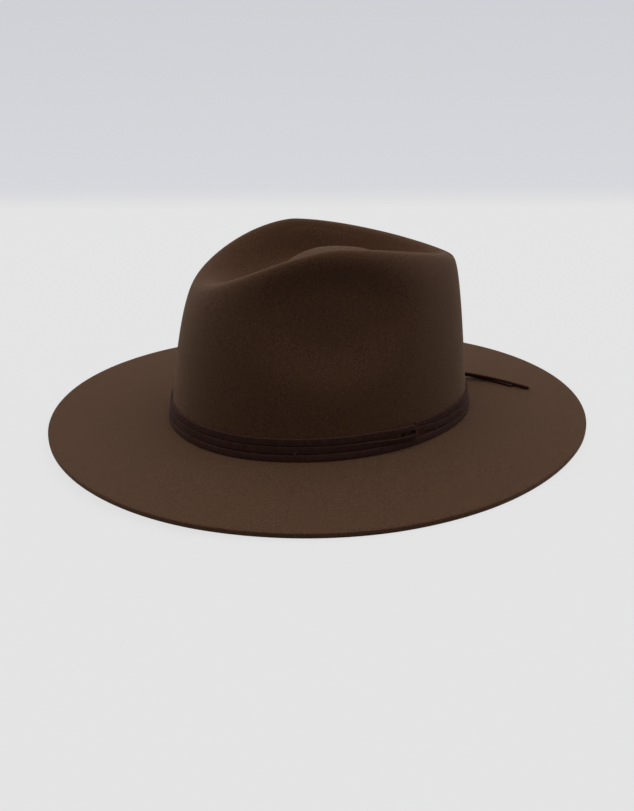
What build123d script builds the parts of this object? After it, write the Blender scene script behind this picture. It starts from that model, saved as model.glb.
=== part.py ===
from build123d import *
import math
import os

# Wide-brimmed fedora. Origin: middle of the head opening on the plane the brim rests on.
# +Z up, the front of the hat faces -Y, the wearer's left side faces +X. Millimetres.
# Turns are degrees about the vertical, from the back (+Y) towards the wearer's left (+X).

# crown base, an egg-shaped oval of four arcs, measured on the outside of the felt
base_half_length = 102.0
base_half_width = 84.0
side_arc_spare = 20.0
side_arc_radius = base_half_length + side_arc_spare
widest_forward = 3.4
# felt
crown_felt = 2.4
brim_felt = 3.0
brim_width = 77.5
brim_edge_round = 0.6
# ridge round the top of the crown, a teardrop in plan: its height above the brim, its insets from the
# base and its drops below the peak
crown_height = 117.0
ridge_middle = 4.4
ridge_end_inset = 20.4
ridge_side_inset = 22.5
ridge_half_length = base_half_length - ridge_end_inset
ridge_half_width = base_half_width - ridge_side_inset
ridge_tip_round = 0.10
ridge_peak_y = -4.9
ridge_front_height = crown_height - 26.4
ridge_front_power = 1.6
ridge_back_height = crown_height - 16.3
ridge_back_power = 1.5
# the wall from the base to the ridge: its share of straight taper, and the power of its rounded shoulder
wall_taper_front = 0.47
wall_taper_back = 0.56
wall_taper_side = 0.55
shoulder_front = 2.2
shoulder_back = 3.9
shoulder_side = 2.7
# dent in the top: a groove round a low pillow, deepest at the front
dent_middle_y = 12.0
groove_place = 0.62
groove_height = crown_height - 22.0
groove_front_height = crown_height - 34.0
groove_back_height = crown_height - 24.0
pillow_height = crown_height - 11.0
# one pinch pressed into each side of the crown, short above its deepest place and long below it
pinch_depth = 9.5
pinch_y = -10.0
pinch_height = crown_height - 33.0
pinch_half_length = 44.0
pinch_above = 24.0
pinch_below = 34.0
# hat band: flat suede lace in three tiers, the two upper ones a doubled lace with a loop at its end
lace_width = 4.2
lace_thickness = 1.5
lace_fit = 0.15
tier_gap = 0.5
tier_step = 0.28
band_lift = 0.3
loop_turn = 70.5
loop_height = 2 * lace_width + tier_gap
loop_reach = 3.8
loop_clearance = 0.2
eye_height = 2.9
leg_gap_turn = 92.0
leg_lift_turn = 84.0
leg_end_turn = 72.0
leg_overlap = 0.3
upper_end_turn = 429.2
middle_end_turn = 433.5
closing_turns = 14.0
tuck = 0.9
# free ends of the lace
tail_start_height = 6.5
tail_stand_off = 1.3
tail_long_turn = -17.0
tail_long_points = [(-19.5, 115.5, 8.4), (-4.2, 135.6, 6.2), (16.1, 150.6, 5.7)]
tail_short_turn = -11.5
tail_short_points = [(-14.2, 112.6, 7.2), (-0.6, 130.0, 5.8), (11.0, 139.2, 5.7)]
tail_bend_share = 0.45
# small stitches that tack the tiers to each other
tack_size = 0.5
tack_length = 3.0
tack_count = 8
tack_first_turn = 15.75
# sweatband and what is sewn to it
sweatband_thickness = 0.8
sweatband_height = 32.0
sweatband_lift = 1.0
sewn_gap = 0.2
thread_size = 0.5
thread_lift = 1.2
seam_tape_width = 12.0
seam_tape_thickness = 0.4
bow_length = 22.0
bow_height = 5.0
bow_thickness = 0.9
bow_lift = 6.0
bow_neck_share = 0.35
knot_width = 4.0
knot_height_share = 0.7
knot_thickness = 1.44
label_thickness = 0.3
size_label_turn = 24.0
size_label_width = 14.0
size_label_height = 20.0
care_label_turn = -32.0
care_label_width = 26.0
care_label_height = 18.0
label_lift = 9.0
# lining, loose inside the crown with its lower edge behind the sweatband
lining_clearance = 0.9
lining_thickness = 0.35
lining_bottom = 16.0
lining_room = 13.0
lining_top = groove_front_height - lining_room
piping_size = 1.2
tip_lift = 0.1

RING_POINTS = 40


def egg_point(turn, offset):
    """Point of the crown's base oval, moved out by offset. The turn is also the outward direction."""
    side_centre = side_arc_radius - base_half_width
    spare = side_arc_radius - base_half_length
    shift = -widest_forward
    square = side_centre**2 + shift**2 - spare**2
    back_centre = square / (2 * (spare + shift))
    front_centre = square / (2 * (spare - shift))
    back_limit = math.atan2(side_centre, back_centre - shift)
    front_limit = math.pi - math.atan2(side_centre, front_centre + shift)
    out_x = math.sin(turn)
    out_y = math.cos(turn)
    from_back = math.acos(max(-1.0, min(1.0, out_y)))
    side = math.copysign(1.0, out_x)
    if from_back < back_limit:
        radius = base_half_length - back_centre + offset
        return radius * out_x, back_centre + radius * out_y
    if from_back > front_limit:
        radius = base_half_length - front_centre + offset
        return radius * out_x, -front_centre + radius * out_y
    radius = side_arc_radius + offset
    return radius * out_x - side * side_centre, shift + radius * out_y


def ridge_point(turn, inset):
    """Highest line of the crown: a teardrop in plan that falls away to the front and the back."""
    x = ridge_half_width * math.sin(turn) * (math.sin(turn / 2)**2 + ridge_tip_round)**0.25
    y = ridge_middle + ridge_half_length * math.cos(turn)
    if y > ridge_peak_y:
        along = (y - ridge_peak_y) / (ridge_middle + ridge_half_length - ridge_peak_y)
        z = crown_height - (crown_height - ridge_back_height) * along**ridge_back_power
    else:
        along = (ridge_peak_y - y) / (ridge_peak_y - ridge_middle + ridge_half_length)
        z = crown_height - (crown_height - ridge_front_height) * along**ridge_front_power
    reach = math.hypot(x, y - dent_middle_y)
    keep = 1 - inset / reach
    return x * keep, dent_middle_y + (y - dent_middle_y) * keep, z - inset


def between(turn, front, back, side):
    """Blend of three values round the crown by how far the turn points to the front or the back."""
    share = math.cos(turn)**2
    end = back if math.cos(turn) > 0 else front
    return side + (end - side) * share


def pinch(y, z):
    """How far the side of the crown is pressed in at this place."""
    along = (y - pinch_y) / pinch_half_length
    up = (z - pinch_height) / (pinch_above if z > pinch_height else pinch_below)
    return pinch_depth * math.exp(-(along**2 + up**2)**2)


def wall_point(turn, rise, inset=0.0):
    """Point of the crown's side. rise is the share of the way from the base up to the ridge."""
    base_x, base_y = egg_point(turn, -inset)
    top_x, top_y, top_z = ridge_point(turn, inset)
    taper = between(turn, wall_taper_front, wall_taper_back, wall_taper_side)
    power = between(turn, shoulder_front, shoulder_back, shoulder_side)
    climbed = max(0.0, min(1.0, rise))
    shoulder = 1 - (1 - climbed**power)**(1 / power)
    way = taper * climbed + (1 - taper) * shoulder
    x = base_x + (top_x - base_x) * way
    y = base_y + (top_y - base_y) * way
    z = top_z * rise
    x -= math.sin(turn) * pinch(y, z)
    return x, y, brim_felt + z


def side_point(turn, height, offset):
    """Point level with the given height above the brim, standing off the outside of the felt."""
    top_z = ridge_point(turn, 0.0)[2]
    x, y, z = wall_point(turn, height / top_z)
    return x + offset * math.sin(turn), y + offset * math.cos(turn), z


def top_point(turn, share, inset=0.0):
    """Point of the dent: share is 1 on the ridge and 0 in the middle of the pillow."""
    x, y, z = ridge_point(turn, inset)
    low = between(turn, groove_front_height, groove_back_height, groove_height) - inset
    high = pillow_height - inset
    if share > groove_place:
        step = (1 - share) / (1 - groove_place)
        height = z + (low - z) * step**2 * (3 - 2 * step)
    else:
        height = low + (high - low) * (1 - (share / groove_place)**3)**2
    return x * share, dent_middle_y + (y - dent_middle_y) * share, brim_felt + height


def ring(point, *args):
    """Closed smooth curve through the points that a function gives round the crown."""
    steps = range(RING_POINTS)
    points = [Vector(*point(2 * math.pi * step / RING_POINTS, *args)) for step in steps]
    shares = [step / RING_POINTS for step in range(RING_POINTS + 1)]
    return Wire([Edge.make_spline(points, periodic=True, parameters=shares)])


def foot_point(turn, inset, z):
    """Point of the crown's base oval, carried straight down to z."""
    x, y = egg_point(turn, -inset)
    return x, y, z


def crown_block(inset, foot):
    """Solid under the crown's outer face, or under its inner face when inset by the felt."""
    rises = [0.06, 0.12, 0.18, 0.24, 0.3, 0.36, 0.42, 0.48, 0.54, 0.6, 0.66, 0.72, 0.78, 0.84, 0.9, 0.95, 0.98]
    shares = [1.0, 0.94, 0.86, 0.77, 0.68, 0.59, 0.5, 0.4, 0.3, 0.2, 0.1]
    rings = [ring(foot_point, inset, foot)]
    rings += [ring(wall_point, rise, inset) for rise in rises]
    rings += [ring(top_point, share, inset) for share in shares]
    middle = Vertex(0, dent_middle_y, brim_felt + pillow_height - inset)
    return Solid.make_loft(rings + [middle])


def oval_face(offset):
    """Flat face inside the base oval moved out by offset, drawn as its four arcs."""
    side_centre = side_arc_radius - base_half_width
    spare = side_arc_radius - base_half_length
    square = side_centre**2 + widest_forward**2 - spare**2
    back_centre = square / (2 * (spare - widest_forward))
    front_centre = square / (2 * (spare + widest_forward))
    back_limit = math.atan2(side_centre, back_centre + widest_forward)
    front_limit = math.pi - math.atan2(side_centre, front_centre - widest_forward)
    stops = [-back_limit, back_limit, front_limit, 2 * math.pi - front_limit, 2 * math.pi - back_limit]
    arcs = []
    for start, end in zip(stops, stops[1:]):
        marks = [egg_point(turn, offset) for turn in (start, (start + end) / 2, end)]
        arcs.append(ThreePointArc(*[(x, y, 0) for x, y in marks]))
    return Face(Wire(arcs))


def crown_skin(inset, foot):
    """Curved face of a crown block, without the flat face under it."""
    return [face for face in crown_block(inset, foot).faces() if face.geom_type != GeomType.PLANE]


def mouth(skin, z):
    """Lower edge of a crown skin, which lies level at z."""
    level = [edge for face in skin for edge in face.edges()
             if abs(edge.position_at(0).Z - z) < 0.001 and abs(edge.position_at(0.4).Z - z) < 0.001]
    return Wire(level)


def felt_body():
    """Crown and brim, blocked from one wool felt hood, with a raw cut edge."""
    plate = extrude(oval_face(brim_width), brim_felt, dir=(0, 0, 1))
    rim = [edge for edge in plate.edges() if abs(edge.tangent_at(0.5).Z) < 0.5]
    faces = fillet(rim, brim_edge_round).faces().sort_by(Axis.Z)
    outside = crown_skin(0.0, brim_felt)
    inside = crown_skin(crown_felt, 0.0)
    brim_top = faces[-1].make_holes([mouth(outside, brim_felt)])
    brim_bottom = faces[0].make_holes([mouth(inside, 0.0)])
    return Solid(Shell([brim_top, brim_bottom, *faces[1:-1], *outside, *inside]))


def sleeve(low, high, inner, outer, levels):
    """Closed band that follows the crown's wall between two heights and two distances off the felt."""
    heights = [low + (high - low) * level / levels for level in range(levels + 1)]
    outside = Solid.make_loft([ring(side_point, height, outer) for height in heights])
    inside = Solid.make_loft([ring(side_point, height, inner) for height in heights])
    return outside - inside


def strip(start, end, low, high, inner, outer, sections):
    """Open band along the crown's wall. low, high, inner and outer are functions of the turn in degrees."""
    faces = []
    for step in range(sections + 1):
        turn = start + (end - start) * step / sections
        angle = math.radians(turn)
        corners = [
            side_point(angle, low(turn), inner(turn)),
            side_point(angle, low(turn), outer(turn)),
            side_point(angle, high(turn), outer(turn)),
            side_point(angle, high(turn), inner(turn)),
        ]
        faces.append(Wire(Polyline(*corners, close=True).edges()))
    return Solid.make_loft(faces)


def ease(value, start, end):
    """0 at start, 1 at end, smooth between."""
    share = max(0.0, min(1.0, (value - start) / (end - start)))
    return share * share * (3 - 2 * share)


def tier_low(tier):
    return band_lift + tier * (lace_width + tier_gap)


def lower_lace():
    """Lowest tier: one lace once round the crown."""
    low = tier_low(0)
    inner = lace_fit + 2 * tier_step
    return sleeve(low, low + lace_width, inner, inner + lace_thickness, 1)


band_middle = (tier_low(1) + tier_low(2) + lace_width) / 2
loop_offset = lace_fit + tier_step + lace_thickness + loop_clearance


def leg_edges(turn, side):
    """Distances of a leg's two edges from the middle of the doubled lace, for the leg above it (1) or
    below it (-1). The edges open round the eye, and at the far end they let the lower leg into the eye."""
    opening = ease(turn, leg_gap_turn, leg_end_turn)
    closing = ease(turn, upper_end_turn - closing_turns, upper_end_turn)
    near = tier_gap / 2 + (eye_height - tier_gap) / 2 * opening
    far = loop_height / 2
    if side > 0:
        return near + (eye_height / 2 + tier_gap - near) * closing, far
    return near - (eye_height / 2 + near) * closing, far + (eye_height / 2 + tuck - far) * closing


def leg(side, end, step):
    """One leg of the doubled lace: from the loop forwards round the crown to its own end behind the loop."""
    def inner(turn):
        start = lace_fit + step
        return start + (loop_offset - start) * ease(turn, leg_lift_turn, leg_end_turn)

    def edge(turn, which):
        return band_middle + side * leg_edges(turn, side)[which]

    return strip(leg_end_turn, end, lambda t: min(edge(t, 0), edge(t, 1)), lambda t: max(edge(t, 0), edge(t, 1)),
                 inner, lambda t: inner(t) + lace_thickness, 72)


def doubled_lace():
    """Two upper tiers: a lace doubled back at its loop. Its legs go round, and its ends go into the loop."""
    return leg(1, upper_end_turn, 0.0) + leg(-1, middle_end_turn, tier_step) + lace_loop()


def lace_loop():
    """Rounded end of the doubled lace with the eye that its own ends go into."""
    turn = math.radians(loop_turn)
    foot = Vector(*side_point(turn, band_middle - 1, loop_offset))
    head = Vector(*side_point(turn, band_middle + 1, loop_offset))
    nose = Vector(-math.cos(turn), math.sin(turn), 0)
    outward = nose.cross(head - foot)
    if outward.dot(Vector(math.sin(turn), math.cos(turn), 0)) < 0:
        outward = -outward
    plane = Plane(origin=(foot + head) / 2, x_dir=nose, z_dir=outward)
    back = math.radians(leg_end_turn - loop_turn) * side_arc_radius + leg_overlap
    half = loop_height / 2
    body = Ellipse(loop_reach, half) & Pos(loop_reach / 2, 0) * Rectangle(loop_reach, loop_height)
    body += Pos(-back / 2, 0) * Rectangle(back, loop_height)
    eye_front = loop_reach - (loop_height - eye_height) / 2
    eye_length = eye_front + back + eye_height
    body -= Pos(eye_front - eye_length / 2, 0) * SlotOverall(eye_length, eye_height)
    return extrude(plane * body, lace_thickness)


def tail(start_turn, points, name):
    """Free end of the lace, as the plain tube it would fill: straight runs joined by tangent arcs."""
    angle = math.radians(start_turn)
    start_offset = lace_fit + tier_step + lace_thickness + tail_stand_off
    route = [Vector(*side_point(angle, tail_start_height, start_offset))]
    route += [Vector(*point) for point in points]
    radii = []
    for before, here, after in zip(route, route[1:], route[2:]):
        shorter = min((here - before).length, (after - here).length)
        bend = math.radians((here - before).get_angle(after - here))
        radii.append(tail_bend_share * shorter / math.tan(bend / 2))
    print(name, "radii", [round(radius, 1) for radius in radii])
    path = FilletPolyline(*route, radius=radii)
    print(name, "length", round(path.length, 1))
    section = Plane(origin=path @ 0, z_dir=path % 0) * Circle(lace_width / 2)
    return sweep(section, path)


def tack_stitches():
    """Short stitches of thread that hold the middle tier down to the lower one."""
    face = lace_fit + 2 * tier_step + lace_thickness + sewn_gap
    seam = tier_low(1) - tier_gap / 2
    stitches = []
    for step in range(tack_count):
        turn = tack_first_turn + 360 * step / tack_count
        half = math.degrees(tack_size / 2 / base_half_width)
        stitches.append(patch(turn - half, turn + half, seam - tack_length / 2, seam + tack_length / 2,
                              face, face + tack_size))
    return Compound(children=stitches)


def patch(start, end, low, high, inner, outer):
    """Small curved piece that follows the wall between two turns, two heights and two distances."""
    return strip(start, end, lambda t: low, lambda t: high, lambda t: inner, lambda t: outer, 4)


def patch_on_wall(turn, width, low, height, inner, thickness):
    """Patch centred on a turn, its width measured along the wall."""
    half = math.degrees(width / 2 / base_half_width)
    return patch(turn - half, turn + half, low, low + height, inner - thickness, inner)


# distances off the outside of the felt, going inwards
lining_outside = -crown_felt - lining_clearance
sweatband_outside = lining_outside - lining_thickness - sewn_gap
sweatband_inside = sweatband_outside - sweatband_thickness
sewn_on = sweatband_inside - sewn_gap
sweatband_low = sweatband_lift - brim_felt


def sweatband():
    """Strip round the head opening that touches the head."""
    return sleeve(sweatband_low, sweatband_low + sweatband_height, sweatband_inside, sweatband_outside, 5)


def sweatband_thread():
    """Line of stitching along the lower edge of the sweatband."""
    low = sweatband_low + thread_lift
    return sleeve(low, low + thread_size, sewn_on - thread_size, sewn_on, 1)


def seam_tape():
    """Tape over the joint of the sweatband at the back."""
    height = sweatband_height - 2 * thread_lift - 2 * thread_size
    low = sweatband_low + thread_lift + 2 * thread_size
    return patch_on_wall(0, seam_tape_width, low, height, sewn_on, seam_tape_thickness)


def sweatband_bow():
    """Small flat ribbon bow sewn over the tape."""
    face = sewn_on - seam_tape_thickness - sewn_gap
    middle = sweatband_low + bow_lift + bow_height / 2
    end = math.degrees(bow_length / 2 / base_half_width)

    def flare(turn):
        return bow_height / 2 * (bow_neck_share + (1 - bow_neck_share) * abs(turn / end))

    wings = strip(-end, end, lambda t: middle - flare(t), lambda t: middle + flare(t),
                  lambda t: face - bow_thickness, lambda t: face, 12)
    knot_height = bow_height * knot_height_share
    return wings + patch_on_wall(0, knot_width, middle - knot_height / 2, knot_height, face, knot_thickness)


def size_label():
    """Blank ribbon tag with the hat's size, sewn to the sweatband."""
    low = sweatband_low + label_lift
    return patch_on_wall(size_label_turn, size_label_width, low, size_label_height, sewn_on, label_thickness)


def care_label():
    """Blank care label beside the seam."""
    low = sweatband_low + label_lift
    return patch_on_wall(care_label_turn, care_label_width, low, care_label_height, sewn_on, label_thickness)


def lining_side():
    """Satin lining round the inside of the crown, from behind the sweatband up."""
    return sleeve(lining_bottom, lining_top, lining_outside - lining_thickness, lining_outside, 12)


def lining_tip():
    """Oval satin panel that closes the lining under the dent."""
    low = lining_top + tip_lift
    return Solid.make_loft([ring(side_point, z, lining_outside) for z in (low, low + lining_thickness)])


def lining_piping():
    """Covered cord in the seam between the lining's side and its tip."""
    high = lining_top - sewn_gap
    inner = lining_outside - lining_thickness - sewn_gap
    return sleeve(high - piping_size, high, inner - piping_size, inner, 1)


pieces = {
    "felt_body": felt_body(),
    "band_lower_lace": lower_lace(),
    "band_doubled_lace": doubled_lace(),
    "band_tack_stitches": tack_stitches(),
    "lace_tail_long": tail(tail_long_turn, tail_long_points, "lace_tail_long"),
    "lace_tail_short": tail(tail_short_turn, tail_short_points, "lace_tail_short"),
    "sweatband": sweatband(),
    "sweatband_thread": sweatband_thread(),
    "sweatband_seam_tape": seam_tape(),
    "sweatband_bow": sweatband_bow(),
    "size_label": size_label(),
    "care_label": care_label(),
    "lining_side": lining_side(),
    "lining_tip": lining_tip(),
    "lining_piping": lining_piping(),
}
os.makedirs("parts", exist_ok=True)
for name, piece in pieces.items():
    export_step(piece, f"parts/{name}.step")
    print(name, round(piece.volume, 1), "mm3,", len(piece.solids()), "solid(s), valid", piece.is_valid)
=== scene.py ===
import math

import bpy
import numpy as np
from mathutils import Matrix, Vector


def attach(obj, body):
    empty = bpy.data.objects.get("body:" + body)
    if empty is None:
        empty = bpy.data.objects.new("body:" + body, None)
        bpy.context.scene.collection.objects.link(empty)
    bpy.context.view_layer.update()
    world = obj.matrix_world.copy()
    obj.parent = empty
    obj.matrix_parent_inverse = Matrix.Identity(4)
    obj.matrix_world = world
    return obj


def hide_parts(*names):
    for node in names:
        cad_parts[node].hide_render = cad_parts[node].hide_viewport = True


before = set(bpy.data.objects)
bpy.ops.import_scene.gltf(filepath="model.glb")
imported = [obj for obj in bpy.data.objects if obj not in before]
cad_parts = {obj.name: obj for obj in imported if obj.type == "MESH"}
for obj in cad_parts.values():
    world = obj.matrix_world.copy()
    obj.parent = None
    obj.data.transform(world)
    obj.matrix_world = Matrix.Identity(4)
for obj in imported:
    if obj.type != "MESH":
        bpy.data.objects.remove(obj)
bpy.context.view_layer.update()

# ---------------------------------------------------------------------------------------------
# Hood: one wool felt cone, steamed over a block into crown and brim and left to dry hard.
# The crown is creased by hand into a teardrop with a pinch on each side; the brim is cut round,
# left raw at its edge, and pressed so that it lifts a little at the front and the back.
# Sizes are millimetres; turns run from the back (+Y) towards the wearer's left (+X).
base_half_length = 102.0
base_half_width = 84.0
side_arc_radius = base_half_length + 20
widest_forward = 3.4
crown_felt = 2.4
brim_felt = 3.0
brim_width = 77.5
edge_round = 0.7
base_fillet = 1.1
front_back_lift = 3.87
front_lift = 1.285
ridge_middle = 4.4
ridge_half_length = 81.6
ridge_half_width = 61.5
ridge_tip_round = 0.10
ridge_peak_y = -4.9
ridge_peak_height = 118.4
ridge_front_height = 91.4
ridge_back_height = 101.2
wall_taper = (0.47, 0.56, 0.55)
shoulder_power = (2.2, 3.9, 2.7)
dent_middle_y = 12.0
groove_place = 0.62
groove_heights = (83.0, 93.0, 95.0)
pillow_height = 107.0
pinch_depth = 9.5
pinch_y = -10.0
pinch_height = 84.0
pinch_half_length = 44.0
pinch_above = 24.0
pinch_below = 34.0
ridge_softness = 3.2
ridge_reach = 14.0
hood_columns = 360


def oval(turn, offset):
    """Egg of four tangent arcs moved out by offset: each arc's centre plus its radius along the turn."""
    across = side_arc_radius - base_half_width
    spare = side_arc_radius - base_half_length
    square = across**2 + widest_forward**2 - spare**2
    back = square / (2 * (spare - widest_forward))
    front = square / (2 * (spare + widest_forward))
    from_back = np.arccos(np.clip(np.cos(turn), -1, 1))
    at_back = from_back < math.atan2(across, back + widest_forward)
    at_front = from_back > math.pi - math.atan2(across, front - widest_forward)
    ends = at_back | at_front
    radius = np.where(at_back, base_half_length - back, base_half_length - front)
    radius = np.where(ends, radius, side_arc_radius) + offset
    x = np.where(ends, 0.0, -np.sign(np.sin(turn)) * across)
    y = np.where(at_back, back, np.where(at_front, -front, -widest_forward))
    return x + radius * np.sin(turn), y + radius * np.cos(turn)


def ridge(turn, inset):
    """Ellipse narrowed to a teardrop at the back; it falls from its peak as powers of the way along."""
    x = ridge_half_width * np.sin(turn) * (np.sin(turn / 2)**2 + ridge_tip_round)**0.25
    y = ridge_middle + ridge_half_length * np.cos(turn)
    to_back = (y - ridge_peak_y) / (ridge_middle + ridge_half_length - ridge_peak_y)
    to_front = (ridge_peak_y - y) / (ridge_peak_y - ridge_middle + ridge_half_length)
    z = ridge_peak_height - (ridge_peak_height - ridge_back_height) * np.maximum(to_back, 0)**1.5
    z = z - (ridge_peak_height - ridge_front_height) * np.maximum(to_front, 0)**1.6
    keep = 1 - inset / np.hypot(x, y - dent_middle_y)
    return x * keep, dent_middle_y + (y - dent_middle_y) * keep, z - inset


def between(turn, front_back_side):
    """The side's value, blended with the front's or back's by the squared cosine of the turn."""
    front, back, side = front_back_side
    end = np.where(np.cos(turn) > 0, back, front)
    return side + (end - side) * np.cos(turn)**2


def wall(turn, rise, inset=0.0):
    """Crown side: base to ridge by a straight share and a superellipse share of the rise, less the pinch."""
    base_x, base_y = oval(turn, -inset)
    top_x, top_y, top_z = ridge(turn, inset)
    taper = between(turn, wall_taper)
    power = between(turn, shoulder_power)
    climbed = np.clip(rise, 0, 1)
    way = taper * climbed + (1 - taper) * (1 - (1 - climbed**power)**(1 / power))
    y = base_y + (top_y - base_y) * way
    z = top_z * rise
    reach = np.where(z > pinch_height, pinch_above, pinch_below)
    pressed = ((y - pinch_y) / pinch_half_length)**2 + ((z - pinch_height) / reach)**2
    x = base_x + (top_x - base_x) * way - np.sin(turn) * pinch_depth * np.exp(-pressed**2)
    return np.stack(np.broadcast_arrays(x, y, brim_felt + z), -1)


def dent(turn, share, inset=0.0):
    """Top of the crown: a smooth step down from the ridge to a groove, then a low rounded pillow."""
    x, y, z = ridge(turn, inset)
    low = between(turn, groove_heights) - inset
    step = np.clip((1 - share) / (1 - groove_place), 0, 1)
    slope = z + (low - z) * step**2 * (3 - 2 * step)
    pillow = low + (pillow_height - inset - low) * (1 - np.clip(share / groove_place, 0, 1)**3)**2
    height = np.where(share > groove_place, slope, pillow)
    y = dent_middle_y + (y - dent_middle_y) * share
    return np.stack(np.broadcast_arrays(x * share, y, brim_felt + height), -1)


def soften(profiles, ridge_row):
    """Rounds the ridge: near it, each point moves to the Gaussian mean of its own profile."""
    gaps = np.linalg.norm(np.diff(profiles, axis=0), axis=-1)
    run = np.concatenate([np.zeros_like(gaps[:1]), np.cumsum(gaps, 0)])
    apart = run[:, None] - run[None]
    weight = np.exp(-(apart / ridge_softness)**2 / 2) * np.gradient(run, axis=0)[None]
    mean = np.einsum("ijc,jcx->icx", weight / weight.sum(1, keepdims=True), profiles)
    near = np.exp(-((run - run[ridge_row]) / ridge_reach)**2)[..., None]
    return profiles + (mean - profiles) * near


def brim(turn, reach, height):
    """Brim at a reach out from the base: flat, plus a lift of two and one waves that grows outwards."""
    x, y = oval(turn, reach)
    around = np.arctan2(x, y)
    wave = front_back_lift * (1 + np.cos(2 * around)) / 2 - front_lift * np.cos(around)
    lift = np.maximum(wave, 0) * np.clip(reach / brim_width, 0, 1)**1.4
    return np.stack(np.broadcast_arrays(x, y, height + lift), -1)


def skin(name, grids, closed=False, along=None, around=None):
    """Mesh over grids of points in mm. Each row is a closed loop, and the rows follow one another; the
    last row meets the first if closed, and otherwise each end is a fan to its middle. Several grids make
    one mesh."""
    grids = np.asarray(grids, float)
    if grids.ndim == 3:
        grids = grids[None]
    count, rows, columns = grids.shape[:3]
    here = np.arange(count * rows * columns).reshape(count, rows, columns)
    if closed:
        above = np.roll(here, -1, 1)
    else:
        here, above = here[:, :-1], here[:, 1:]
    side = np.stack([here, above, np.roll(above, -1, 2), np.roll(here, -1, 2)], -1).reshape(-1, 4)
    corner = np.stack([side[:, [0, 1, 2]], side[:, [0, 2, 3]]], 1).reshape(-1, 3)
    points = grids.reshape(-1, 3)
    triangles = np.zeros((0, 3), int)
    if not closed:
        middles = len(points) + np.arange(2 * count).reshape(count, 2)
        points = np.concatenate([points, grids[:, [0, -1]].mean(2).reshape(-1, 3)])
        first, last = here[:, 0], above[:, -1]
        low = np.stack([first, np.roll(first, -1, 1), np.broadcast_to(middles[:, :1], first.shape)], -1)
        high = np.stack([np.roll(last, -1, 1), last, np.broadcast_to(middles[:, 1:], last.shape)], -1)
        triangles = np.concatenate([low.reshape(-1, 3), high.reshape(-1, 3)])
    every = points[np.concatenate([corner, triangles])]
    inside_out = np.einsum("ij,ij->", every[:, 0], np.cross(every[:, 1], every[:, 2])) < 0
    turned = slice(None, None, -1) if inside_out else slice(None)
    mesh = bpy.data.meshes.new(name)
    faces = side[:, turned].tolist() + triangles[:, turned].tolist()
    mesh.from_pydata((points / 1000).tolist(), [], faces)
    mesh.shade_smooth()
    if along is not None:
        steps = np.append(along, 2 * along[-1] - along[-2]) if closed else along
        u = np.stack([steps[:-1], steps[1:], steps[1:], steps[:-1]], -1)
        v = np.stack([around[:-1], around[:-1], around[1:], around[1:]], -1)
        u, v = np.broadcast_arrays(u[None, :, None], v[None, None])
        place = np.stack([u, v], -1)
        place = np.broadcast_to(place, (count, *place.shape[1:])).reshape(-1, 4, 2)[:, turned]
        flat = np.concatenate([place.reshape(-1, 2), np.zeros((3 * len(triangles), 2))])
        mesh.uv_layers.new(name="cloth").data.foreach_set("uv", flat.ravel())
    mesh.validate()
    piece = bpy.data.objects.new(name, mesh)
    bpy.context.scene.collection.objects.link(piece)
    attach(piece, "root")
    return piece


def linear(code):
    """Linear colour, with alpha, of an sRGB hex code."""
    shares = [int(code[place:place + 2], 16) / 255 for place in (0, 2, 4)]
    return [s / 12.92 if s <= 0.04045 else ((s + 0.055) / 1.055)**2.4 for s in shares] + [1.0]


def finish(name, **values):
    """Material with one Principled shader and the given values on its own sockets."""
    material = bpy.data.materials.new(name)
    material.use_nodes = True
    for socket, value in values.items():
        material.node_tree.nodes["Principled BSDF"].inputs[socket.replace("_", " ")].default_value = value
    return material


def add(material, kind, values=None, links=None, **settings):
    """Adds a node: its settings, the values of its inputs, and the sockets that feed its inputs."""
    made = material.node_tree.nodes.new(kind)
    for setting, value in settings.items():
        setattr(made, setting, value)
    for socket, value in (values or {}).items():
        made.inputs[socket].default_value = value
    for socket, source in (links or {}).items():
        material.node_tree.links.new(source, made.inputs[socket])
    return made


def surface(material, colour=None, bump=None, roughness=None):
    """Feeds the shader's colour, normal and roughness."""
    shader = material.node_tree.nodes["Principled BSDF"]
    for socket, source in (("Base Color", colour), ("Normal", bump), ("Roughness", roughness)):
        if source is not None:
            material.node_tree.links.new(source, shader.inputs[socket])


# Wool felt: matted wool fibres, dyed brown and brushed. It gives no gloss, a fine uneven grain about
# a millimetre wide, soft clouds where the dye took differently, and a pale fuzz at grazing angles.
felt_dark = "3F281B"
felt_light = "644531"
felt_cloud = "553926"
grain_mm = 0.9
cloud_mm = 22.0

wool_felt = finish("wool_felt_brushed", Roughness=0.95, Sheen_Weight=0.6, Sheen_Roughness=0.4,
                   Sheen_Tint=linear("C8A98C"), Specular_IOR_Level=0.12)
place = add(wool_felt, "ShaderNodeTexCoord").outputs["Object"]
grain = add(wool_felt, "ShaderNodeTexNoise", {"Scale": 1000 / grain_mm, "Detail": 3, "Roughness": 0.65},
            {"Vector": place})
cloud = add(wool_felt, "ShaderNodeTexNoise", {"Scale": 1000 / cloud_mm, "Detail": 2}, {"Vector": place})
fibre = add(wool_felt, "ShaderNodeTexNoise", {"Scale": 1000 / grain_mm * 2, "Detail": 2, "Distortion": 2.5},
            {"Vector": place})
speck = add(wool_felt, "ShaderNodeMapRange", {"From Min": 0.32, "From Max": 0.68},
            {"Value": grain.outputs["Fac"]})
dyed = add(wool_felt, "ShaderNodeMix", {6: linear(felt_dark), 7: linear(felt_light)},
           {0: speck.outputs["Result"]}, data_type="RGBA")
patchy = add(wool_felt, "ShaderNodeMapRange", {"From Min": 0.35, "From Max": 0.65, "To Max": 0.45},
             {"Value": cloud.outputs["Fac"]})
clouded = add(wool_felt, "ShaderNodeMix", {7: linear(felt_cloud)},
              {0: patchy.outputs["Result"], 6: dyed.outputs[2]}, data_type="RGBA")
nap = add(wool_felt, "ShaderNodeMath", {}, {0: grain.outputs["Fac"], 1: fibre.outputs["Fac"]})
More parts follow.
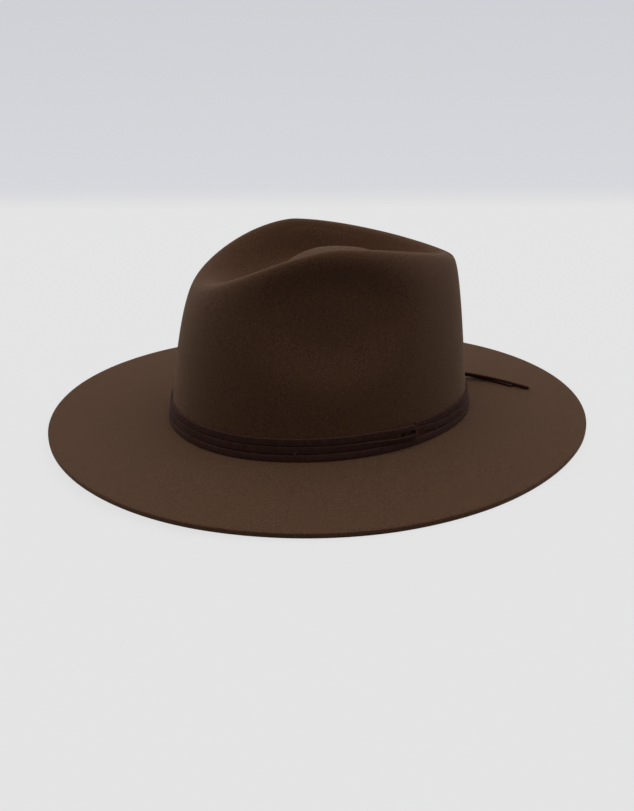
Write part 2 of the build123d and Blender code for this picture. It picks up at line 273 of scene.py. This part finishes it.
fuzz = add(wool_felt, "ShaderNodeBump", {"Strength": 0.5, "Distance": 0.0005},
           {"Height": nap.outputs["Value"]})
surface(wool_felt, clouded.outputs[2], fuzz.outputs["Normal"])

turns = np.linspace(0, 2 * np.pi, hood_columns, endpoint=False)[None]
rises = (1 - (1 - np.linspace(0, 1, 72))**2.2)[1:, None]
shares = np.linspace(1, 0.004, 60)[1:, None]
corner = np.linspace(0, np.pi / 2, 6)[:, None]
outer_reach = np.linspace(brim_width - edge_round, base_fillet, 30)[1:-1, None]
under_reach = np.linspace(-crown_felt, brim_width - edge_round, 24)[:, None]
round_reach = brim_width - edge_round + edge_round * np.sin(corner)
foot = base_fillet * (1 - np.sin(corner))
outside = soften(np.concatenate([wall(turns, rises[1:]), dent(turns, shares)]), len(rises) - 2)
inside = soften(np.concatenate([wall(turns, rises[1::2], crown_felt), dent(turns, shares[::2], crown_felt)]),
                len(rises[1::2]) - 1)
hood = skin("hood_felt", np.concatenate([
    inside[::-1],
    brim(turns, under_reach, 0.0),
    brim(turns, round_reach[1:], edge_round * (1 - np.cos(corner[1:]))),
    brim(turns, round_reach[::-1], brim_felt - edge_round + edge_round * np.cos(corner[::-1])),
    brim(turns, outer_reach, brim_felt),
    brim(turns, foot[:-1], brim_felt + base_fillet * (1 - np.cos(corner[:-1]))),
    outside,
]))
hood.data.materials.append(wool_felt)
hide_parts("felt_body")

# ---------------------------------------------------------------------------------------------
# Hat band: flat suede lace, about 4.2 mm wide, in three tiers round the foot of the crown.
# The lowest tier is one lace; the two above are one lace doubled back, and its ends go into its loop.
lace_width = 4.2
lace_thickness = 1.5
lace_fit = 0.15
tier_gap = 0.5
band_lift = 0.3
tier_step = 0.28
loop_turn = 70.5
loop_reach = 3.8
loop_clearance = 0.2
eye_height = 2.9
leg_gap_turn = 92.0
leg_lift_turn = 84.0
leg_end_turn = 72.0
upper_end_turn = 429.2
middle_end_turn = 433.5
closing_turns = 14.0
tuck = 0.9
leg_lean = 0.6
lace_corner = 0.35


def on_wall(turn, height, offset):
    """Point level with a height above the brim, standing off the outside of the felt along the turn."""
    top_z = ridge(turn, 0.0)[2]
    outward = np.stack(np.broadcast_arrays(np.sin(turn), np.cos(turn), 0.0), -1)
    return wall(turn, height / top_z) + outward * np.asarray(offset)[..., None]


def strap(half_width, thickness, corner, steps=3):
    """Section of a flat strap as a closed loop: (across, out) of a rectangle with rounded corners."""
    arc = np.linspace(0, np.pi / 2, steps)
    across, out = [], []
    for turn_by, centre in ((0, (1, 1)), (1, (-1, 1)), (2, (-1, 0)), (3, (1, 0))):
        across.append(centre[0] * (half_width - corner) + corner * np.cos(arc + turn_by * np.pi / 2))
        middle = thickness - corner if centre[1] else corner
        out.append(middle + corner * np.sin(arc + turn_by * np.pi / 2))
    return np.concatenate(across), np.concatenate(out)


def ease(value, start, end):
    """0 at start, 1 at end, smooth between."""
    share = np.clip((value - start) / (end - start), 0, 1)
    return share * share * (3 - 2 * share)


def perimeter(loop):
    """Distance round a closed section, from 0 back to its start."""
    step = np.hypot(*(np.roll(loop, -1, 1) - loop))
    return np.concatenate([[0], np.cumsum(step)])


def tier_low(tier):
    return band_lift + tier * (lace_width + tier_gap)


loop_height = 2 * lace_width + tier_gap


# Suede lace: split leather with a short brushed nap, dyed very dark brown. It gives no gloss, a nap
# that shades in patches a few millimetres long, and a painted highlight: its edges are lighter where they
# bulge.
suede_dark = "301C18"
suede_light = "432822"
suede_edge_highlight = "553A31"
nap_mm = 3.5

suede = finish("suede_lace_brushed", Roughness=0.9, Sheen_Weight=0.2, Sheen_Roughness=0.5,
               Sheen_Tint=linear("A88474"), Specular_IOR_Level=0.15)
place = add(suede, "ShaderNodeTexCoord").outputs["Object"]
nap = add(suede, "ShaderNodeTexNoise", {"Scale": 1000 / nap_mm, "Detail": 4, "Roughness": 0.7},
          {"Vector": place})
hair = add(suede, "ShaderNodeTexNoise", {"Scale": 2200, "Detail": 2, "Distortion": 1.5}, {"Vector": place})
shaded = add(suede, "ShaderNodeMapRange", {"From Min": 0.3, "From Max": 0.7}, {"Value": nap.outputs["Fac"]})
brushed = add(suede, "ShaderNodeMix", {6: linear(suede_dark), 7: linear(suede_light)},
              {0: shaded.outputs["Result"]}, data_type="RGBA")
# Painted highlight: the colour turns lighter on the lace's edges, where the surface bulges.
edge_bulge_geometry = add(suede, "ShaderNodeNewGeometry")
painted_edge_highlight = add(suede, "ShaderNodeMapRange", {"From Min": 0.52, "From Max": 0.6, "To Max": 0.5},
           {"Value": edge_bulge_geometry.outputs["Pointiness"]})
edge_highlighted = add(suede, "ShaderNodeMix", {7: linear(suede_edge_highlight)},
            {0: painted_edge_highlight.outputs["Result"], 6: brushed.outputs[2]}, data_type="RGBA")
rough = add(suede, "ShaderNodeBump", {"Strength": 0.4, "Distance": 0.0003}, {"Height": hair.outputs["Fac"]})
surface(suede, edge_highlighted.outputs[2], rough.outputs["Normal"])


def suede_piece(piece, node):
    """Gives a lace its suede and hides the CAD node that it stands for."""
    piece.data.materials.append(suede)
    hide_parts(node)
    return piece


across, out = strap(lace_width / 2, lace_thickness, lace_corner)
turns = np.linspace(0, 2 * np.pi, 420, endpoint=False)[:, None]
sway = 0.12 * np.sin(5 * turns + 0.7) + 0.08 * np.sin(11 * turns + 2.1)
lower_path = on_wall(turns, tier_low(0) + lace_width / 2 + across + sway * 0.6,
                     lace_fit + 2 * tier_step + out + sway * 0.5)
suede_piece(skin("lower_lace", lower_path, closed=True), "band_lower_lace")


def doubled_path():
    """Middle line of the doubled lace: turn, height, half width, distance off the felt, outward lean of the
    loop's inner edge, and the direction across it (along, up). One leg back, half a circle, the other leg."""
    middle = (tier_low(1) + tier_low(2) + lace_width) / 2
    lifted = lace_fit + tier_step + lace_thickness + loop_clearance
    bend_radius = (loop_height + eye_height) / 4
    centre_turn = loop_turn + math.degrees((loop_height / 2 - loop_reach) / side_arc_radius)

    def leg(turn, side, step):
        """One leg on its side (up 1, down -1) of the middle: its inner edge opens at the eye, and its far end
        narrows to let the other end into the eye."""
        opening = ease(turn, leg_gap_turn, leg_end_turn)
        closing = ease(turn, upper_end_turn - closing_turns, upper_end_turn)
        inner = tier_gap / 2 + (eye_height - tier_gap) / 2 * opening
        outer = loop_height / 2 + 0 * turn
        if side > 0:
            inner = inner + (eye_height / 2 + tier_gap - inner) * closing
        else:
            outer = outer + (eye_height / 2 + tuck - outer) * closing
            inner = inner - (eye_height / 2 + inner) * closing
        rise = ease(turn, leg_lift_turn, leg_end_turn)
        off = lace_fit + step + (lifted - lace_fit - step) * rise
        lean = leg_lean * ease(turn, leg_gap_turn + 8, leg_end_turn + 4) * (side < 0)
        return np.stack([turn, middle + side * (inner + outer) / 2, (outer - inner) / 2, off,
                         lean, 0 * turn, side + 0 * turn])

    bend = np.linspace(-np.pi / 2, np.pi / 2, 17)[1:-1]
    flat = np.ones_like(bend)
    nose = np.stack([centre_turn - np.degrees(bend_radius * np.cos(bend) / side_arc_radius),
                     middle + bend_radius * np.sin(bend), (loop_height - eye_height) / 4 * flat,
                     lifted * flat,
                     leg_lean * (1 - np.sin(bend)) / 2, -np.cos(bend), np.sin(bend)])
    path = np.concatenate([leg(np.linspace(middle_end_turn, centre_turn, 420), -1, tier_step), nose,
                           leg(np.linspace(centre_turn, upper_end_turn, 420), 1, 0.0)], 1)
    return np.radians(path[0]), *path[1:]


turn, height, half, off, lean, go_along, go_up = (line[:, None] for line in doubled_path())
share, out = strap(1.0, lace_thickness, lace_corner / 2)
sway = 0.1 * np.sin(9 * turn + 1.0) + 0.07 * np.sin(17 * turn)
suede_piece(skin("doubled_lace", on_wall(turn + go_along * share * half / side_arc_radius,
                                         height + go_up * share * half + sway * 0.4,
                                         off + out + sway * 0.5 - lean * share)), "band_doubled_lace")

# Tacks: a few short stitches of thread that hold the doubled lace down to the lower one.
tack_turns = 15.75 + 45 * np.arange(8)
tack_size = 0.5
tack_length = 3.0
tack_rise = 0.25


def stitches(turn, low, high, offset, size, bulge):
    """Short threads pressed on a wall: each is a capsule from low to high that arches out by bulge."""
    along = np.linspace(0, np.pi, 9)
    around = np.linspace(0, 2 * np.pi, 8, endpoint=False)
    thick = size / 2 * np.sin(along)**0.6
    height = low + (high - low) * (1 - np.cos(along)) / 2
    out = offset + bulge * np.sin(along)
    side = thick[:, None] * np.cos(around)
    turn = turn[:, None, None] + side / base_half_width
    off = out[:, None] + thick[:, None] * np.sin(around) + size / 2
    return on_wall(turn, height[:, None] + 0 * side, off)


thread = finish("polyester_thread", Roughness=0.6, Sheen_Weight=0.1)
place = add(thread, "ShaderNodeTexCoord").outputs["Object"]
twist = add(thread, "ShaderNodeTexWave", {"Scale": 700, "Distortion": 1.0}, {"Vector": place},
            bands_direction="DIAGONAL")
strand = add(thread, "ShaderNodeMix", {6: linear("2A1F1B"), 7: linear("42322B")},
             {0: twist.outputs["Fac"]}, data_type="RGBA")
plied = add(thread, "ShaderNodeBump", {"Strength": 0.5, "Distance": 0.0001}, {"Height": twist.outputs["Fac"]})
surface(thread, strand.outputs[2], plied.outputs["Normal"])

seam = tier_low(1) - tier_gap / 2
tacks = skin("tack_threads", stitches(np.radians(tack_turns), seam - tack_length / 2, seam + tack_length / 2,
                                      lace_fit + lace_thickness, tack_size, tack_rise))
tacks.data.materials.append(thread)
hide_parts("band_tack_stitches")

# Free ends of the lace: they leave the band at the back and lie across the brim, one on the other.
tail_start_height = 6.5
tail_stand_off = 0.9
tail_long_turn = -17.0
tail_long_points = [(-17.6, 115.0, 7.6), (-1.9, 136.7, 5.6), (17.3, 149.3, 5.3)]
tail_short_turn = -11.5
tail_short_points = [(-19.5, 118.8, 5.2), (-1.0, 135.6, 4.7), (8.8, 141.2, 4.8)]


def route_line(points):
    """Smooth line, in mm, of the NURBS curve that has the route's points as its control points."""
    curve = bpy.data.curves.new("route", "CURVE")
    curve.dimensions = "3D"
    curve.resolution_u = 24
    spline = curve.splines.new("NURBS")
    spline.points.add(len(points) - 1)
    for control, point in zip(spline.points, points):
        control.co = (*(value / 1000 for value in point), 1)
    spline.order_u = 3
    spline.use_endpoint_u = True
    holder = bpy.data.objects.new("route", curve)
    bpy.context.scene.collection.objects.link(holder)
    line = bpy.data.meshes.new_from_object(holder)
    found = np.array([vertex.co for vertex in line.vertices], float) * 1000
    bpy.data.objects.remove(holder)
    return found


def lace_tail(name, node, start_turn, points, tilt_start, tilt_end):
    """Flat lace carried along its route; its width leans from level by a tilt that changes on the way."""
    angle = np.array(math.radians(start_turn))
    start = on_wall(angle, tail_start_height, lace_fit + lace_thickness + tail_stand_off)
    line = route_line([start, *points])
    forward = np.gradient(line, axis=0)
    forward /= np.linalg.norm(forward, axis=1)[:, None]
    level = np.cross(forward, (0, 0, 1))
    level /= np.linalg.norm(level, axis=1)[:, None]
    up = np.cross(level, forward)
    tilt = np.radians(np.linspace(tilt_start, tilt_end, len(line)))[:, None]
    wide = np.cos(tilt) * level + np.sin(tilt) * up
    thick = np.cos(tilt) * up - np.sin(tilt) * level
    across, out = strap(lace_width / 2, lace_thickness, lace_corner)
    pressed = np.linspace(0.8, 1, len(line))[:, None, None]
    level_out = (out - lace_thickness / 2)[:, None] * pressed
    grid = line[:, None] + wide[:, None] * across[:, None] + thick[:, None] * level_out
    piece = suede_piece(skin(name, grid), node)


lace_tail("long_tail", "lace_tail_long", tail_long_turn, tail_long_points, 24, 36)
lace_tail("short_tail", "lace_tail_short", tail_short_turn, tail_short_points, 6, 4)

# ---------------------------------------------------------------------------------------------
# Sweatband: grosgrain ribbon sewn round the head opening, with its line of stitching, a tape over the
# joint at the back, a small flat bow on the tape, and two blank labels.
lining_clearance = 0.9
lining_thickness = 0.35
sewn_gap = 0.2
sweatband_thickness = 0.8
sweatband_height = 32.0
sweatband_low = 1.0 - brim_felt
thread_size = 0.5
thread_lift = 1.2
stitch_pitch = 3.0
stitch_share = 0.38
ribbon_radius = 93
thread_radius = 89
tape_width = 12.0
tape_thickness = 0.4
label_thickness = 0.3
label_lift = 9
lining_outside = -crown_felt - lining_clearance
sweatband_outside = lining_outside - lining_thickness - sewn_gap
sweatband_inside = sweatband_outside - sweatband_thickness
sewn_on = sweatband_inside - sewn_gap


def cloth_on_wall(turn, height, offset):
    """The same point as on_wall, but it can reach below the brim's top, where the wall is straight down."""
    place = on_wall(turn, np.maximum(height, 0), offset)
    place[..., 2] += np.minimum(height, 0)
    return place


# Grosgrain: tight plain weave with thick weft, dyed black-brown. It gives fine upright ribs, about
# 0.7 mm apart here, coarser than the real 0.5 mm so that they show, and a faint satin light on each.
rib_mm = 0.7


def ribbon_finish(name, dark, light, rib):
    """Ribbed ribbon: waves along its length colour it and raise its ribs."""
    material = finish(name, Roughness=0.55, Sheen_Weight=0.15, Sheen_Roughness=0.4, Specular_IOR_Level=0.3)
    lengthwise = add(material, "ShaderNodeUVMap", uv_map="cloth").outputs["UV"]
    ribs = add(material, "ShaderNodeTexWave", {"Scale": 2 * math.pi / (20 * rib)}, {"Vector": lengthwise},
               bands_direction="X")
    uneven = add(material, "ShaderNodeTexNoise", {"Scale": 0.6, "Detail": 3}, {"Vector": lengthwise})
    mixed = add(material, "ShaderNodeMath", {1: 0.6}, {0: ribs.outputs["Fac"]}, operation="MULTIPLY")
    total = add(material, "ShaderNodeMath", {}, {0: mixed.outputs["Value"], 1: uneven.outputs["Fac"]})
    clear = add(material, "ShaderNodeMapRange", {"From Min": 0.3, "From Max": 1.2},
                {"Value": total.outputs["Value"]})
    colour = add(material, "ShaderNodeMix", {6: linear(dark), 7: linear(light)},
                 {0: clear.outputs["Result"]}, data_type="RGBA")
    raised = add(material, "ShaderNodeBump", {"Strength": 0.7, "Distance": 0.0002},
                 {"Height": ribs.outputs["Fac"]})
    surface(material, colour.outputs[2], raised.outputs["Normal"])
    return material


grosgrain = ribbon_finish("grosgrain_ribbon_woven", "17120F", "2E2620", rib_mm)
turns = np.linspace(0, 2 * np.pi, 420, endpoint=False)[:, None]
across, out = strap(sweatband_height / 2, sweatband_thickness, 0.38)
sweat = skin("ribbon_sweatband",
             cloth_on_wall(turns, sweatband_low + sweatband_height / 2 + across, sweatband_inside + out),
             closed=True, along=turns[:, 0] * ribbon_radius, around=perimeter(np.stack([across, out])))
sweat.data.materials.append(grosgrain)
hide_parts("sweatband")

stitch_count = int(2 * math.pi * thread_radius / stitch_pitch)
stitch_turns = np.linspace(0, 2 * np.pi, stitch_count, endpoint=False)
half = stitch_share * stitch_pitch / thread_radius
along = np.linspace(0, np.pi, 7)
around = np.linspace(0, 2 * np.pi, 6, endpoint=False)
thick = thread_size / 2 * np.sin(along)**0.6
height = (sweatband_low + thread_lift + thread_size / 2 + thick[:, None] * np.cos(around))[None]
turn = (stitch_turns[:, None] - half * np.cos(along))[:, :, None] + 0 * height
off = sewn_on - thread_size / 2 + (thick[:, None] * np.sin(around))[None]
sewing = skin("ribbon_stitching", cloth_on_wall(turn, height + 0 * turn, off))
sewing.data.materials.append(thread)
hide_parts("sweatband_thread")


def patch(name, turn, width, low, height, face, thickness, node, material):
    """Small ribbon laid on the wall: a strap section carried along the turn, inwards from face."""
    half = width / 2 / base_half_width
    turn = np.linspace(math.radians(turn) - half, math.radians(turn) + half, 24)[:, None]
    across, out = strap(height / 2, thickness, thickness * 0.45)
    piece = skin(name, cloth_on_wall(turn, low + height / 2 + across + 0 * turn, face - thickness + out),
                 along=turn[:, 0] * base_half_width, around=perimeter(np.stack([across, out])))
    piece.data.materials.append(material)
    if node:
        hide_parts(node)
    return piece


tape_lift = thread_lift + 2 * thread_size
patch("joint_tape", 0, tape_width, sweatband_low + tape_lift, sweatband_height - 2 * tape_lift, sewn_on,
      tape_thickness, "sweatband_seam_tape", grosgrain)
bow_satin = ribbon_finish("bow_ribbon_satin", "1B1410", "3A2C24", 0.35)
label_satin = ribbon_finish("label_ribbon_woven", "CFC6B8", "E6DFD3", 0.5)
patch("size_tag", 24, 14.0, sweatband_low + label_lift, 20.0, sewn_on, label_thickness,
      "size_label", label_satin)
patch("care_tag", -32, 26.0, sweatband_low + label_lift, 18.0, sewn_on, label_thickness,
      "care_label", label_satin)

# Bow: two flat loops of narrow ribbon drawn together by a knot, which is a turn of the same ribbon.
bow_face = sewn_on - tape_thickness - sewn_gap
bow_middle = sweatband_low + 6 + 2.5
wings = []
for side in (-1, 1):
    loop = np.linspace(0, 2 * np.pi, 40, endpoint=False)[:, None]
    reach = (1 - np.cos(loop)) / 2 * 11
    deep = 0.75 * np.sin(loop) * (0.3 + reach / 11)
    across, out = strap(1.0, 0.25, 0.1)
    flare = 2.5 * (0.4 + 0.6 * reach / 11)
    wings.append(cloth_on_wall(side * reach / base_half_width + 0 * across, bow_middle + across * flare,
                               bow_face - 0.95 - deep + out - 0.12))
bow = skin("ribbon_bow", wings, closed=True, along=np.arange(40) * 0.6,
           around=perimeter(np.stack([across * 2.5, out])))
bow.data.materials.append(bow_satin)
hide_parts("sweatband_bow")
patch("ribbon_bow_knot", 0, 4.0, sweatband_low + 6.6, 3.8, bow_face, 2.1, None, bow_satin)

# ---------------------------------------------------------------------------------------------
# Lining: thin satin, a side panel from behind the sweatband up and an oval tip, joined by a seam with
# a covered cord in it. It hangs loose in the crown, so it falls in shallow upright folds.
lining_bottom = 16.0
lining_top = 70.0
piping_size = 1.2
fold_depth = 0.9

satin = finish("acetate_satin_lining", Roughness=0.38, Sheen_Weight=0.1, Specular_IOR_Level=0.5,
               Anisotropic=0.4)
place = add(satin, "ShaderNodeTexCoord").outputs["Object"]
weave = add(satin, "ShaderNodeTexWave", {"Scale": 450, "Distortion": 0.6}, {"Vector": place},
            bands_direction="Z")
cloudy = add(satin, "ShaderNodeTexNoise", {"Scale": 60, "Detail": 3}, {"Vector": place})
tone = add(satin, "ShaderNodeMix", {6: linear("3A2A22"), 7: linear("523C31")},
           {0: cloudy.outputs["Fac"]}, data_type="RGBA")
threads = add(satin, "ShaderNodeBump", {"Strength": 0.15, "Distance": 0.0001},
              {"Height": weave.outputs["Fac"]})
surface(satin, tone.outputs[2], threads.outputs["Normal"])


def satin_piece(piece, node):
    """Gives a panel its satin and hides the CAD node that it stands for."""
    piece.data.materials.append(satin)
    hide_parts(node)
    return piece


turns = np.linspace(0, 2 * np.pi, 480, endpoint=False)[:, None]
level = np.concatenate([np.linspace(0, 1, 24), np.linspace(1, 0, 24)])
thin = np.repeat([lining_thickness / 2, -lining_thickness / 2], 24)
ripple = np.sin(46 * turns + 3 * np.sin(5 * turns) + 1.5 * level)
fold = fold_depth * np.sin(np.pi * level)**0.7 * (1 + ripple) / 2
satin_piece(skin("satin_side", on_wall(turns, lining_bottom + (lining_top - lining_bottom) * level,
                                                    lining_outside - lining_thickness / 2 + thin - fold),
                              closed=True), "lining_side")

disc = np.concatenate([np.linspace(0.01, 1, 30), np.linspace(1, 0.01, 30)])[:, None]
thin = np.repeat([-lining_thickness / 2, lining_thickness / 2], 30)[:, None]
rim = on_wall(turns.T, lining_top + 0.8 * lining_thickness, lining_outside)
middle = np.array([0.0, dent_middle_y, 0.0])
sag = 3.0 * (1 - disc**2) + 0.5 * disc**4 * (1 - disc) * np.sin(40 * turns.T)
tip = middle + (rim - middle) * disc[..., None]
tip[..., 2] = rim[..., 2] + thin - sag
satin_piece(skin("satin_tip", tip), "lining_tip")

around = np.linspace(0, 2 * np.pi, 10, endpoint=False)
cover = piping_size / 2 * (1 + 0.05 * np.sin(180 * turns))
height = lining_top - sewn_gap - piping_size / 2 + cover * np.cos(around)
off = lining_outside - lining_thickness - sewn_gap - piping_size / 2 + cover * np.sin(around)
satin_piece(skin("satin_piping", on_wall(turns, height, off), closed=True), "lining_piping")

# ---------------------------------------------------------------------------------------------
# Studio: a pale floor that sweeps up into a pale wall, a large soft light above and behind the hat,
# a dim even room, and the camera.
camera_place = (0.4540, -0.1161, 0.2056)
camera_heading = math.radians(76.0)
camera_pitch = 0.4114
camera_roll = -0.0069
camera_lens = 32.61
wall_away = 0.90
sweep_radius = 0.03

camera = bpy.data.objects.new("camera", bpy.data.cameras.new("camera"))
camera.data.lens = camera_lens
camera.data.sensor_width = 36
camera.data.clip_start = 0.01
camera.matrix_world = (Matrix.Translation(camera_place) @ Matrix.Rotation(camera_heading, 4, "Z")
                       @ Matrix.Rotation(math.pi / 2 - camera_pitch, 4, "X")
                       @ Matrix.Rotation(camera_roll, 4, "Z"))
bpy.context.scene.collection.objects.link(camera)
bpy.context.scene.camera = camera

away = np.array([-math.sin(camera_heading), math.cos(camera_heading), 0])
aside = np.array([away[1], -away[0], 0])
bend = np.linspace(0, np.pi / 2, 8)
forward = np.concatenate([[-3.0], wall_away + sweep_radius * np.sin(bend), [wall_away + sweep_radius]])
height = np.concatenate([[0.0], sweep_radius * (1 - np.cos(bend)), [2.5]])
spread = np.array([-3.0, 3.0])[:, None, None]
sheet = aside * spread + away * forward[:, None] + np.array([0, 0, 1.0]) * height[:, None]
count = len(forward)
mesh = bpy.data.meshes.new("studio_sweep")
mesh.from_pydata(sheet.reshape(-1, 3).tolist(), [],
                 [(i, i + 1, count + i + 1, count + i) for i in range(count - 1)])
mesh.shade_smooth()
sweep = bpy.data.objects.new("studio_sweep", mesh)
bpy.context.scene.collection.objects.link(sweep)
sweep.visible_diffuse = False

# Painted sweep: nearly shadowless, so most of its light is its own.
paint = finish("matt_paint", Roughness=1.0, Specular_IOR_Level=0.0, Base_Color=linear("E7E7E7"))
place = add(paint, "ShaderNodeTexCoord").outputs["Object"]
parts = add(paint, "ShaderNodeSeparateXYZ", {}, {0: place})
ramp = add(paint, "ShaderNodeValToRGB")
rise = add(paint, "ShaderNodeMapRange", {"From Max": 0.4}, {"Value": parts.outputs["Z"]})
paint.node_tree.links.new(rise.outputs["Result"], ramp.inputs["Fac"])
stops = ((0.0, "E7E7E7"), (0.09, "DEDFE4"), (1.0, "D5D6DB"))
ramp.color_ramp.elements.new(0.5)
for element, (position, code) in zip(ramp.color_ramp.elements, stops):
    element.position = position
    element.color = linear(code)
glow = add(paint, "ShaderNodeEmission", {}, {"Color": ramp.outputs["Color"]})
blend = add(paint, "ShaderNodeMixShader", {0: 0.1},
            {1: glow.outputs[0], 2: paint.node_tree.nodes["Principled BSDF"].outputs[0]})
surface(paint, ramp.outputs["Color"])
paint.node_tree.links.new(blend.outputs[0], paint.node_tree.nodes["Material Output"].inputs[0])
mesh.materials.append(paint)

room = bpy.data.worlds.new("room")
room.use_nodes = True
room.node_tree.nodes["Background"].inputs["Color"].default_value = linear("F1F2F5")
bpy.context.scene.world = room
brightest = 0.45 * away + np.array([0, 0, 0.9])
towards = add(room, "ShaderNodeTexCoord").outputs["Generated"]
facing = add(room, "ShaderNodeVectorMath", {1: brightest}, {0: towards}, operation="DOT_PRODUCT")
light = add(room, "ShaderNodeMapRange", {"From Min": -0.3, "From Max": 1.0, "To Min": 0.12, "To Max": 0.94},
            {"Value": facing.outputs["Value"]})
room.node_tree.links.new(light.outputs["Result"], room.node_tree.nodes["Background"].inputs["Strength"])

box = bpy.data.lights.new("soft_box", "AREA")
box.shape = "RECTANGLE"
box.size = 1.8
box.size_y = 1.4
box.energy = 5
lamp = bpy.data.objects.new("soft_box", box)
lamp_place = Vector((*(away[:2] * 0.45), 1.3))
lamp.matrix_world = (Matrix.Translation(lamp_place)
                     @ (Vector((0, 0, 0.05)) - lamp_place).to_track_quat("-Z", "Y").to_matrix().to_4x4())
bpy.context.scene.collection.objects.link(lamp)
bpy.context.scene.view_settings.view_transform = "Standard"
